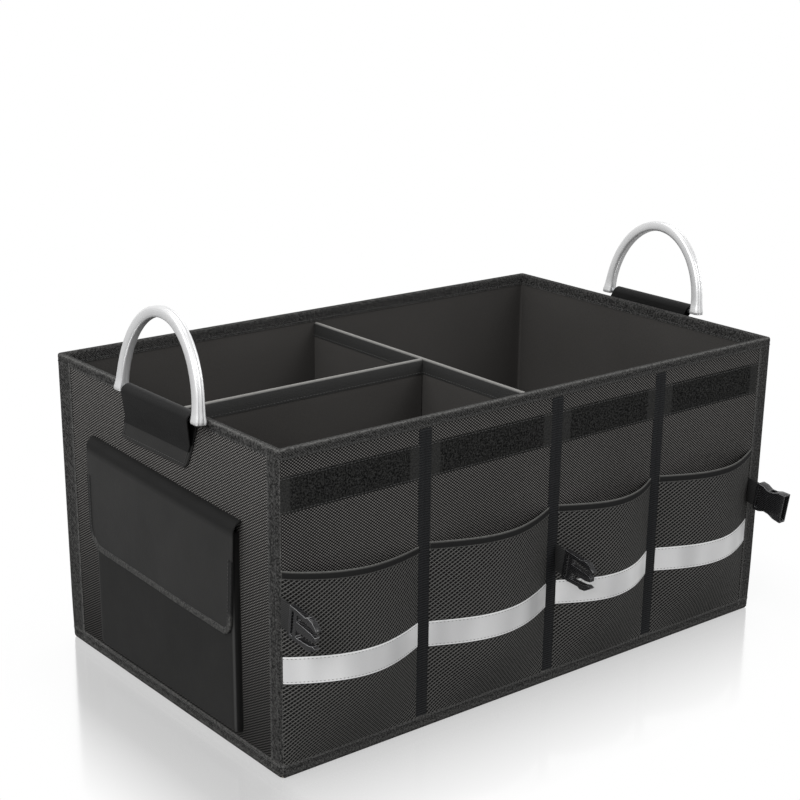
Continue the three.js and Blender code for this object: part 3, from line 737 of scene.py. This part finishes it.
pocket_bow, pocket_base, full_bow, pocket_cut = 21 * mm, 12.5 * mm, 78 * mm, 160 * mm
mesh_top, elastic_top = 168 * mm, 174 * mm


def pocket_depth(x, z, x0, x1):
    """The depth of the bow, by one rule for the mesh, its elastic and the reflective tape."""
    rise = sin(pi / 2 * min(1, max(0, (z - pocket_base) / (full_bow - pocket_base))))
    return pocket_bow * sin(pi * (x - x0) / (x1 - x0)) * rise


def on_pocket(x, z, bay, off):
    """A point of a pocket; the corner seam drags the first pocket up and draws its top edge in."""
    ripple = 0.5 * mm * unevenness(x, z, 11, 34 * mm) * crown_between(x, bay)
    depth = pocket_depth(x, z, *bay)
    if bay == bays[0]:
        to_fold, high = (bay[1] - x) / (bay[1] - bay[0]), max(0, (z - full_bow) / (elastic_top - full_bow))
        depth *= 1 - 0.42 * high
        drag = 3 - 4.5 * high + (6.2 + 6.5 * high) * max(0, to_fold) ** (1.3 + 0.9 * high)
        z += drag * mm * min(1, (z - pocket_base) / (full_bow - pocket_base))
    depth += off + ripple
    x, drop = near_corner(x, half_length, z)
    return Vector((x, drop - half_width - depth, z))


edge_seams = []
for number, bay in enumerate(bays, 1):
    xs = spaced(*bay, 30)
    heights = spaced(pocket_base, full_bow, 14) + spaced(full_bow, mesh_top, 12)[1:]
    rows = [[on_pocket(x, z, bay, 1 * mm) for x in xs] for z in heights]
    pocket = make_piece(f"mesh_pocket_{number}", sheet_of_cloth(rows, 0.9 * mm), mesh_finish,
                        [f"mesh_pocket_{number}"])
    # The third number of each point is its share of the painted highlight.
    section = [(0.0, 167.5, 0), (1.5, 167.4, 0.25), (1.75, 168.4, 0), (1.75, 172.4, 0), (1.4, 173.4, 0.5),
               (0.8, 174.1, 1), (0.1, 173.7, 0.6)]
    rows = [[on_pocket(x, z * mm, bay, off * mm) for off, z, _ in section] for x in xs]
    lips = [share for _ in xs for _, _, share in section]
    hem = make_piece(f"pocket_elastic_{number}", swept(rows), elastic_finish,
                     [f"pocket_elastic_{number}"], paint={"lip": lips})
    edge_seams += [[on_pocket(x, z, bay, 1.3 * mm) for x in xs]
                   for z in (elastic_top - 0.2 * mm, mesh_top - 0.6 * mm)]
    bow_line = [on_pocket(x, full_bow, bay, 0) for x in xs]
sew("elastic_edge_stitches", edge_seams, edge_finish, 2.0 * mm, 2.2 * mm, 0.6 * mm)

# Reflective tapes. A silver-grey glass-bead tape 23 mm wide is sewn across each pocket with a row
# of grey stitches along each edge. It follows the bow of the mesh.
bead_finish = Finish("reflective_tape", 0.42, metallic=0.15)
bead_v = bead_finish.along_cloth()[1]
# Painted reflection: broad lighter and darker bands along the tape stand in for how it reflects the light.
painted_reflection_bands = bead_finish.grain(26, 1, stretch=(1, 0.4, 0.1)).ramp(0.32, 0.68)
bead = bead_finish.grain(1500, 2)
bead_edge = (bead_v - 11.5 * mm).size().ramp(10.5 * mm, 11.2 * mm) * 0.6
bead_tone = bead_finish.blend(painted_reflection_bands * 0.8 + bead * 0.2, (0.43, 0.43, 0.435), 0.84)
bead_finish.colour(bead_edge, bead_tone, 0.85)
bead_finish.emboss(bead, 0.08 * mm)
dark_thread = Finish("dark_thread", 0.6)
dark_thread.colour(dark_thread.grain(1200), 0.12, 0.26)
tape_base, tape_top = 78 * mm, 101 * mm
tape_seams = []
for number, bay in enumerate(bays, 1):
    xs = spaced(*bay, 30)
    rows = [[on_pocket(x, z, bay, 1.7 * mm) for x in xs] for z in spaced(tape_base, tape_top, 5)]
    make_piece(f"reflective_tape_{number}", sheet_of_cloth(rows, 0.5 * mm), bead_finish,
               [f"reflective_tape_{number}"])
    tape_seams += [[on_pocket(x, z, bay, 1.8 * mm) for x in xs]
                   for z in (tape_base + 1.5 * mm, tape_top - 1.5 * mm)]
sew("reflective_stitches", tape_seams, dark_thread, 3.4 * mm, 1.7 * mm, 0.55 * mm)

# Side pocket. A flat pouch of satin black leatherette with turned corners is sewn to the left end.
# Its front is slack and crowns a little; its mouth is open under the flap.
leather_finish = Finish("satin_leatherette", specular=0.2)
pores = leather_finish.pores()
broad = leather_finish.grain(14, 2)
leather_tone = leather_finish.blend(broad, (0.0105, 0.0105, 0.0102), (0.0205, 0.0201, 0.0195))
# Painted highlight: a thin lighter line along the pouch's front turns.
leather_tone = leather_finish.blend(leather_finish.painted("pouch_edge_highlight"), leather_tone, (0.07, 0.07, 0.069))
# Painted shade: the pouch under the flap, its sides by the wall and the crease under the flap's roll are
# drawn darker, near black.
painted_shade = leather_finish.painted("painted_shade")
leather_finish.colour(painted_shade, leather_tone, 0.0008)
leather_finish.set("Roughness", leather_finish.grain(40, 2) * 0.12 + 0.42 + painted_shade * 0.4)
leather_finish.emboss(pores * 0.6 + leather_finish.grain(60, 2) * 1.2, 0.12 * mm)

wall_x = -half_length
pouch_half, pouch_depth, pouch_turn, pouch_y = 115 * mm, 7 * mm, 5 * mm, -6 * mm
pouch_base, pouch_top = 20 * mm, 200.5 * mm


def pouch_row(z, depth, inset):
    """The pouch's plan at one height: out from the wall, across its front and back to the wall."""
    turn = min(pouch_turn, depth * 0.6)
    half = pouch_half - inset
    plan = [(0, half), (depth * 0.35, half), (depth - turn, half)]
    plan += [(depth - turn + turn * sin(t), half - turn + turn * cos(t)) for t in spaced(0.3, 1.45, 4)]
    middle = [(depth, y) for y in spaced(half - turn - 3 * mm, -(half - turn - 3 * mm), 30)]
    row, slack = [], 1.1 * mm * crown_between(z, [pouch_base, pouch_top])
    for d, y in plan + middle + [(d, -y) for d, y in reversed(plan)]:
        crown = slack * crown_between(y, [-half, half]) if d == depth else 0
        row.append(Vector((wall_x - d - crown * 0.6, pouch_y + y, z)))
    return row


rows = [pouch_row(pouch_base, 1 * mm, 1.5 * mm), pouch_row(pouch_base, 4 * mm, 1.2 * mm),
        pouch_row(pouch_base + 0.8 * mm, 5.6 * mm, 0.7 * mm),
        pouch_row(pouch_base + 2.6 * mm, 6.7 * mm, 0.2 * mm)]
rows += [pouch_row(z, pouch_depth, 0) for z in spaced(pouch_base + 5 * mm, pouch_top, 24)]
made = sheet_of_cloth(rows, 1.1 * mm)
painted_pouch_shade, pouch_edge_highlight = [], []
for p in made[0]:
    to_side, out = pouch_half - abs(p.y - pouch_y), wall_x - p.x
    # Painted shade on all of the pouch under the flap, and more on its sides by the wall.
    painted_pouch_shade.append(0.8 if to_side < 1 * mm and out < 6 * mm else 0.35)
    # Painted highlight along the front turn near each side.
    pouch_edge_highlight.append(0.8 if 1 * mm < to_side < 3 * mm and out > 5 * mm else 0.0)
pouch = make_piece("side_pocket", made, leather_finish,
                   ["side_pocket"], paint={"painted_shade": painted_pouch_shade, "pouch_edge_highlight": pouch_edge_highlight})

# Pocket flap. A sheet of the same leatherette is sewn to the end above the pouch, a little askew,
# rolls outwards over its mouth and hangs in front of it. Its rounded lower edge is bound and stitched.
flap_root_z, flap_low, flap_half, flap_turn, near_turn = 217 * mm, 117 * mm, 119.5 * mm, 22 * mm, 12 * mm
flap_inner, flap_thickness, roll_drop, skew, near_taper = 7.8 * mm, 1.5 * mm, 10 * mm, 0.04, 7 * mm
flap_outer = flap_inner + flap_thickness
flap_profile = [(0.5 * mm + (flap_outer - 0.5 * mm) * sin(t), flap_root_z - roll_drop * (1 - cos(t)))
                for t in spaced(0.03, pi / 2, 10)]
flap_profile += [(flap_outer, z) for z in spaced(flap_root_z - roll_drop, flap_low, 22)[1:]]


def flap_reach(z, turn):
    """How far the flap reaches sideways at one height, with a lower corner of the given radius."""
    short = max(0, turn - (z - flap_low))
    return flap_half - turn + sqrt(turn ** 2 - short ** 2)


def on_flap(depth, z, y, off=0):
    belly = 1.6 * mm * crown_between(y, [-flap_half, flap_half])
    belly *= crown_between(z, [flap_low - 20 * mm, flap_root_z])
    flare = 1.2 * mm * unevenness(y, z, 21, 80 * mm)
    hang = min(1, depth / flap_inner)
    drop = (flap_root_z - z) / (flap_root_z - flap_low)
    lean_in = near_taper * drop * max(0, -y / flap_half) ** 2
    askew = skew * y * (1 - 0.17 * drop) - 3.6 * mm * drop
    x = wall_x - 0.3 * mm - depth - off - (belly + flare * 0.5) * hang
    return Vector((x, pouch_y + y + lean_in, z + askew))


rows = [[on_flap(depth, z, y) for y in spaced(flap_reach(z, flap_turn), -flap_reach(z, near_turn), 36)]
        for depth, z in reversed(flap_profile)]
made = sheet_of_cloth(rows, flap_thickness)
# Painted shade on the flap's top roll by the wall, from 13 mm below its root upwards.
above_crease = [p.z - skew * (p.y - pouch_y) - flap_root_z + 13 * mm for p in made[0]]
crease = [max(0.0, min(1.0, height / (5 * mm))) * 0.75 for height in above_crease]
flap = make_piece("side_pocket_flap", made, leather_finish, ["side_pocket_flap"],
                  None, {"painted_shade": crease})
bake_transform(flap)

bound_finish = Finish("bound_edge", 0.6, 0.2)
bound_grain = bound_finish.grain(460, 2).ramp(0.3, 0.7)
# Painted highlight: the binding along the flap's lower edge is drawn lighter.
painted_lower_highlight = bound_finish.painted("lower_run")
bound_finish.colour(bound_grain * painted_lower_highlight * 0.7, 0.012, (0.09, 0.089, 0.085))
bound_finish.emboss(bound_grain, 0.3 * mm)


def half_edge(turn):
    """The flap's edge from high on one side round its lower corner to the middle of the lower edge."""
    path = [(flap_half, z) for z in spaced(flap_root_z - 34 * mm, flap_low + turn, 12)[:-1]]
    path += [(flap_half - turn + turn * cos(t), flap_low + turn - turn * sin(t))
             for t in spaced(0, pi / 2, 8)]
    return path + [(y, flap_low) for y in spaced(flap_half - turn, 0, 12)[1:]]


edge_path = half_edge(flap_turn) + [(-y, z) for y, z in reversed(half_edge(near_turn)[:-1])]
edge_frames = []


def square_to(path, i):
    """The unit vector square to a path of y and z at one of its points."""
    before, after = path[max(i - 1, 0)], path[min(i + 1, len(path) - 1)]
    run = Vector((0, after[0] - before[0], after[1] - before[1])).normalized()
    return Vector((0, run.z, -run.y))


for i, (y, z) in enumerate(edge_path):
    inward = square_to(edge_path, i)
    edge_frames.append((y, z, inward if inward.dot(Vector((0, -y, 165 * mm - z))) > 0 else -inward))


def edge_row(inset, off):
    return [on_flap(flap_outer, z + inward.z * inset, y + inward.y * inset, off)
            for y, z, inward in edge_frames]


binding_section = [(-0.3, -1.7), (-0.6, -0.6), (-0.3, 0.35), (2, 0.6), (4.8, 0.45), (5.4, -0.1), (2, -0.5),
                   (0.2, -1.2)]
runs = [edge_row(inset * mm, off * mm) for inset, off in binding_section]
made = swept([list(section) for section in zip(*runs)])
lower_run = [1.0 if p.z < flap_low + 12 * mm else 0.0 for p in made[0]]
flap_binding = make_piece("flap_binding", made, bound_finish, (), "pocket_flap",
                          {"lower_run": lower_run})
sew("flap_stitches", [edge_row(4.2 * mm, 0.75 * mm)], pitch=3.2 * mm, length=2.3 * mm,
    body="pocket_flap")

# Dividers. Two loose panels of board in lining cloth stand in the box: one across it and one from that to the
# left end. A tape is bound over each top, with a painted highlight along its crown.
divider_top, divider_half, tape_skin = 272 * mm, 2 * mm, 0.8 * mm
divider_tape_finish = Finish("divider_tape", 0.6)
painted_crown_highlight = divider_tape_finish.painted("crown") * (divider_tape_finish.grain(300, 2) * 0.5 + 0.7)
divider_tape_base = divider_tape_finish.blend(divider_tape_finish.grain(700, 2), 0.006, (0.022, 0.022, 0.021))
divider_tape_finish.colour(painted_crown_highlight, divider_tape_base, (0.20, 0.195, 0.185))
divider_tape_finish.emboss(divider_tape_finish.grain(700, 2), 0.2 * mm)


def divider(name, start, end):
    """A padded panel from start to end on the floor, as a closed skin, and the tape bound over its top."""
    run, length = (end - start).normalized(), (end - start).length
    side, steps, rows_up = Vector((-run.y, run.x, 0)), 40, 14

    def carried(profile, wave):
        sections = []
        for place in spaced(0, length, steps):
            bend = 0.5 * mm * unevenness(place, 0, len(name), 120 * mm)
            sections.append([start + run * place + side * (a + bend + wave * unevenness(place, z, 31))
                             + Vector((0, 0, z)) for a, z in profile])
        return swept(sections)

    face_low, face_top = inside_floor + 1 * mm, divider_top - 2.4 * mm
    profile = [(-divider_half, z) for z in spaced(face_low, face_top, rows_up)]
    profile += [(-1.2 * mm, divider_top - 1 * mm), (1.2 * mm, divider_top - 1 * mm)]
    profile += [(divider_half, z) for z in spaced(face_top, face_low, rows_up)]
    profile += [(1.4 * mm, inside_floor + 0.3 * mm), (-1.4 * mm, inside_floor + 0.3 * mm)]
    make_piece(name, carried(profile, 0.25 * mm), lining_finish, [name])
    outer = divider_half + tape_skin
    half_cap = [(divider_half, 257.2), (outer, 257.4), (outer + 0.1 * mm, 262), (outer, 268),
                (outer - 0.3 * mm, 270.6), (1.1 * mm, 271.9)]
    cap = [(-a, z) for a, z in half_cap] + [(0, 272.1)] + half_cap[::-1]
    cap += [(divider_half * 0.9, 269), (-divider_half * 0.9, 269)]
    # The crown of the tape gets the painted highlight.
    crowns = [1.0 if z > 271 else 0.0 for _ in range(steps + 1) for _, z in cap]
    make_piece(name + "_binding", carried([(a, z * mm) for a, z in cap], 0), divider_tape_finish,
               [name + "_binding"], paint={"crown": crowns})
    return [[start + run * t + side * (way * (outer + 0.15 * mm)) + Vector((0, 0, 259.2 * mm))
             for t in spaced(0, length, 2)] for way in (-1, 1)]


divider_seams = divider("cross_divider", Vector((0, -inside_y + 0.3 * mm, 0)),
                        Vector((0, inside_y - 0.3 * mm, 0)))
divider_seams += divider("long_divider", Vector((-inside_x + 0.3 * mm, 0, 0)), Vector((-2.9 * mm, 0, 0)))
sew("divider_stitches", divider_seams)

# Handle bows. A stout aluminium bow with rolled edges and two shallow grooves along its outer face
# stands on each end, tilted a little. Its ends flare into feet that close round the ends of the bar.
bow_finish = Finish("satin_aluminium", metallic=0.6)
brushed = bow_finish.grain(700, 1, stretch=(1, 0.05, 0.05))
bow_finish.set("Roughness", brushed * 0.12 + 0.26)
bow_finish.colour(bow_finish.grain(30, 2), (0.62, 0.623, 0.63), 0.72)
bow_half, bow_rise, bow_tilt = 65.4 * mm, 81.5 * mm, radians(5.5)
bar_out, bar_radius = 9 * mm, 3 * mm
bow_heart, bow_inner = 4.7, 9.5
bow_profile = [(-3.0, -9.3), (-3.9, -8.5), (-4.25, -7.2), (-4.2, -4.7), (-4.25, -2.3), (-3.9, -1.0),
               (-3.2, -0.2), (-2.5, -0.1), (-1.9, -0.7), (-1.2, -0.05), (0, 0.1), (1.2, -0.05),
               (1.9, -0.7), (2.5, -0.1), (3.2, -0.2), (3.9, -1.0), (4.25, -2.3), (4.2, -4.7),
               (4.25, -7.2), (3.9, -8.5), (3.0, -9.3), (1.6, -9.5), (-1.6, -9.5)]


def bow_sections(bar_x, bar_y, bar_z):
    path = [(-bow_half, -3.1 * mm, 0.6), (-bow_half, -2.8 * mm, 0.9), (-bow_half, -2 * mm, 1.0),
            (-bow_half, 0, 1.0)]
    path += [(bow_half * cos(t), bow_rise * sin(t), 1.0) for t in spaced(pi, 0, 64)[1:-1]]
    path += [(-y, rise, share) for y, rise, share in reversed(path[:4])]
    sections = []
    for i, (y, rise, share) in enumerate(path):
        out = -square_to(path, i)
        flare = exp(-max(rise, 0) / (6 * mm))
        section = []
        for a, b in bow_profile:
            spread = flare * max(0, (b + bow_inner) / bow_heart - 0.2)
            along = out * ((b + bow_heart) * share - bow_heart + spread) * mm
            across = a * mm * share * (1 + 0.3 * flare)
            height = rise + along.z
            leant = across * cos(bow_tilt) + height * sin(bow_tilt)
            risen = height * cos(bow_tilt) - across * sin(bow_tilt)
            section.append(Vector((bar_x + leant, bar_y + y + along.y, bar_z + risen)))
        sections.append(section)
    return sections


# Handle bars. A bright drawn steel bar joins the feet of each bow and turns in the sleeve below it.
# Only its ends and a short run beside the sleeve are seen, so it keeps its plain round form.
steel_finish = Finish("drawn_steel", metallic=1.0)
steel_finish.set("Base Color", (0.42, 0.43, 0.44, 1))
steel_finish.set("Roughness", steel_finish.grain(500, 2, stretch=(1, 0.1, 1)) * 0.2 + 0.25)
handles = {"left": (-1, -17.5 * mm, 285.5 * mm), "right": (1, -11.5 * mm, 288.5 * mm)}
for name, (side, bar_y, bar_z) in handles.items():
    sections = bow_sections(side * (half_length + bar_out), bar_y, bar_z)
    make_piece(f"{name}_handle_bow", swept(sections), bow_finish, [f"{name}_handle_bow"],
               f"{name}_handle", sharp=60)
    recoat(f"{name}_handle_bar", steel_finish)

# Handle sleeves. A doubled leatherette tab is sewn to each end, and its upper part loops loosely
# round the bar. It leans, as its handle stands nearer the front; the right one is trimmed to clear it.
sleeve_cloth, sleeve_gap = 1.2 * mm, 0.5 * mm
tab_top, tab_low, tab_half, loop_half, lean = 257 * mm, 235 * mm, 53 * mm, 52.5 * mm, 0.5
sleeve_finish = Finish("sleeve_leatherette", 0.5, 0.12)
sleeve_finish.colour(sleeve_finish.grain(22, 2), 0.003, 0.009)
sleeve_finish.emboss(sleeve_finish.pores() + sleeve_finish.grain(50, 2) * 2, 0.12 * mm)
sleeve_seams = []


def straight(start, end):
    return list(zip(spaced(start[0], end[0], 5), spaced(start[1], end[1], 5)))


for name, (side, bar_y, bar_z) in handles.items():
    face, bar_x = side * half_length, side * (half_length + bar_out)
    outer = bar_radius + sleeve_gap + sleeve_cloth
    foot_out = (face + side * 2.3 * sleeve_cloth, tab_top - 6 * mm)
    foot_in = (face + side * 1.1 * sleeve_cloth, tab_top - 6 * mm)

    def leaning(x, y, z):
        return Vector((x, bar_y + y - lean * (z - bar_z), z))

    def tangent_angle(foot, way):
        reach = hypot(bar_x - foot[0], bar_z - foot[1])
        towards = atan2(bar_z - foot[1], bar_x - foot[0])
        return towards + way * (asin(outer / reach) + pi / 2)

    start = tangent_angle(foot_out, -side)
    turn = tangent_angle(foot_in, side) - start
    while side * turn < 0:
        turn += side * 2 * pi
    path = [foot_out, (foot_out[0] + side * 0.3 * mm, tab_top)]
    first = (bar_x + outer * cos(start), bar_z + outer * sin(start))
    path += straight(path[1], first)[1:-1]
    path += [(bar_x + outer * cos(t), bar_z + outer * sin(t)) for t in spaced(start, start + turn, 18)]
    path += straight(path[-1], foot_in)[1:]
    trim = 1.6 * mm if side > 0 else 0
    rows = [[leaning(x, side * y, z) for y in spaced(-loop_half, loop_half - trim, 26)] for x, z in path]
    loop = make_piece(f"{name}_sleeve_loop", sheet_of_cloth(rows, -sleeve_cloth), sleeve_finish,
                      [f"{name}_handle_sleeve"])
    tab_x = face + side * 2 * sleeve_cloth
    tab_rows = []
    for z in spaced(tab_low, tab_top, 8):
        half = tab_half - (3 * mm * (1 - (z - tab_low) / (3 * mm)) if z < tab_low + 3 * mm else 0)
        tab_rows.append([])
        for y in spaced(-half, half, 24):
            crown = 0.3 * mm * crown_between(y, [-tab_half, tab_half])
            tab_rows[-1].append(leaning(tab_x + side * crown, side * y, z))
    tab = make_piece(f"{name}_sleeve_tab", sheet_of_cloth(tab_rows, 2.2 * mm), leather_finish)
    seam_x = tab_x + side * 0.3 * mm
    inset = 3 * mm
    edge, high, low = tab_half - inset, tab_top - inset, tab_low + inset
    corners = [(-edge, high), (-edge, low), (edge, low), (edge, high), (-edge, high)]
    sleeve_seams.append([leaning(seam_x, y, z) for y, z in corners])
sew("sleeve_stitches", sleeve_seams, pitch=3.2 * mm, length=2.3 * mm)

# Buckle webbing. Three short pieces of 25 mm woven webbing come out of the front seams: at the near
# left corner, at the middle fold and at the right corner. Each carries one half of a buckle.
webbing_finish = Finish("woven_webbing", 0.8, 0.1)
web_place = webbing_finish.split(webbing_finish.place())
chevron = web_place[2].ripple(1.6 * mm) * 0.6 + (web_place[1] + web_place[2]).ripple(1.1 * mm) * 0.4
webbing_finish.colour(chevron, 0.008, 0.05)
webbing_finish.emboss(chevron, 0.3 * mm)


def softened(node_name, width):
    """A copy of a moulded or cut node with its edges rounded, and a painted highlight on the ridges that look
    up.
    """
    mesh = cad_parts[node_name].data.copy()
    shaped = bmesh.new()
    shaped.from_mesh(mesh)
    bmesh.ops.remove_doubles(shaped, verts=shaped.verts, dist=0.005 * mm)
    bmesh.ops.dissolve_limit(shaped, angle_limit=radians(1), verts=shaped.verts, edges=shaped.edges)
    edges = [e for e in shaped.edges if e.is_manifold and e.calc_face_angle(0) > radians(28)]
    rounded = bmesh.ops.bevel(shaped, geom=edges, offset=width, segments=2, profile=0.5, affect="EDGES",
                              clamp_overlap=True)
    strips = set(rounded["faces"])
    shaped.normal_update()
    ridges = [max(0, v.normal.z + 0.3) if all(f in strips for f in v.link_faces) else 0.0
              for v in shaped.verts]
    bmesh.ops.triangulate(shaped, faces=[f for f in shaped.faces if len(f.verts) > 4])
    points = [v.co.copy() for v in shaped.verts]
    shaped.verts.index_update()
    faces = [[v.index for v in f.verts] for f in shaped.faces]
    shaped.free()
    bpy.data.meshes.remove(mesh)
    return (points, faces), {"ridge": ridges}


for name in ("corner_webbing", "middle_webbing", "socket_webbing"):
    made, ridge = softened(name, 0.6 * mm)
    make_piece(name, made, webbing_finish, [name], paint=ridge)

# Buckle halves. Two clips and one socket are moulded in semi-gloss black plastic. A clip has a
# ribbed bar, two barbed outer prongs and a straight middle one; the socket is waisted and hollow.
buckle_finish = Finish("moulded_black_plastic", specular=0.4)
ribs = sum(buckle_finish.split(buckle_finish.place())[1:], 0).ripple(2.4 * mm).ramp(0.5, 0.9)
# Painted highlight: the upward-facing ridges of the buckles are drawn light grey.
painted_ridge_highlight = buckle_finish.painted("ridge").ramp(0.2, 1)
buckle_tone = buckle_finish.blend(ribs * 0.6, (0.006, 0.006, 0.0065), (0.03, 0.03, 0.032))
buckle_finish.colour(painted_ridge_highlight, buckle_tone, (0.55, 0.55, 0.56))
buckle_finish.set("Roughness", buckle_finish.grain(160, 2) * 0.12 + 0.18)
buckle_finish.emboss(ribs + buckle_finish.grain(1400, 2) * 0.1, 0.25 * mm)
for name in ("corner_clip", "middle_clip", "socket_buckle"):
    made, ridge = softened(name, 0.5 * mm)
    make_piece(name, made, buckle_finish, [name], paint=ridge, sharp=50)

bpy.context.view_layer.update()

# Floor finish: polished white. It mirrors the foot of the box softly, and fades to plain white away
# from it; its bounce light is kept low.
floor_finish = Finish("studio_floor", 0.12, metallic=0.8)
across, back, _ = floor_finish.split(floor_finish.place())
past_end = (across.size() - half_length).maths("MAXIMUM", 0)
past_wall = (back.size() - half_width).maths("MAXIMUM", 0)
away = ((past_end * past_end + past_wall * past_wall) ** 0.5).ramp(0, 0.142)
mirror = (1 - away) * (past_end.ramp(0, 0.06) * 0.38 + 0.47)
rays = floor_finish.node("ShaderNodeLightPath", None, None, "Is Camera Ray")
floor_finish.colour(rays, 0.35, 0.97)
white = floor_finish.node("ShaderNodeEmission", None, {"Color": (1, 1, 1, 1), "Strength": 1})
share = (1 - mirror) * rays
polish = Field(floor_finish, floor_finish.shader.outputs[0])
mixed = floor_finish.node("ShaderNodeMixShader", None, {0: share, 1: polish, 2: white})
floor_finish.tree.links.new(mixed.socket, floor_finish.tree.nodes["Material Output"].inputs["Surface"])
floor_mesh.materials.append(floor_finish.material)
